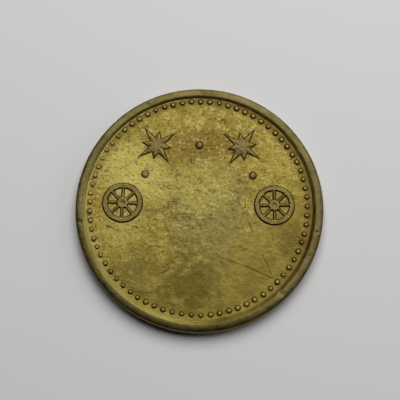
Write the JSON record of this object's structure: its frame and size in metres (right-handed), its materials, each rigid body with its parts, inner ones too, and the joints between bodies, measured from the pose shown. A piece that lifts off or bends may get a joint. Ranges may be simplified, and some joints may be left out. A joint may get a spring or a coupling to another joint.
{
  "type": "transit token",
  "caption": "Round struck brass fare token: a thin disc with a raised rim on both faces, a beaded border inside it, and wheel and star devices in low relief.",
  "frame": {"origin": "centre of the plane that the back rim rests on", "axes": "+Z out of the front face, +Y towards the arc of devices on the front, near their axis of symmetry"},
  "size_m": [0.024, 0.024, 0.0015],
  "materials": {
    "blank_brass": "worn satin with fine scratches",
    "rim_brass": "toned brown-grey, rubbed bright at the corners",
    "bead_brass": "toned, dark in the gaps",
    "device_brass": "toned brown-grey on top, dark round the foot"
  },
  "bodies": {
    "root": {"blank": "blank_brass", "front_rim": "rim_brass", "back_rim": "rim_brass", "front_bead_border": "bead_brass", "back_bead_border": "bead_brass", "left_wheel": "device_brass", "right_wheel": "device_brass", "left_star": "device_brass", "right_star": "device_brass", "round_stops": "device_brass", "back_wheel": "device_brass"}
  },
  "joints": []
}
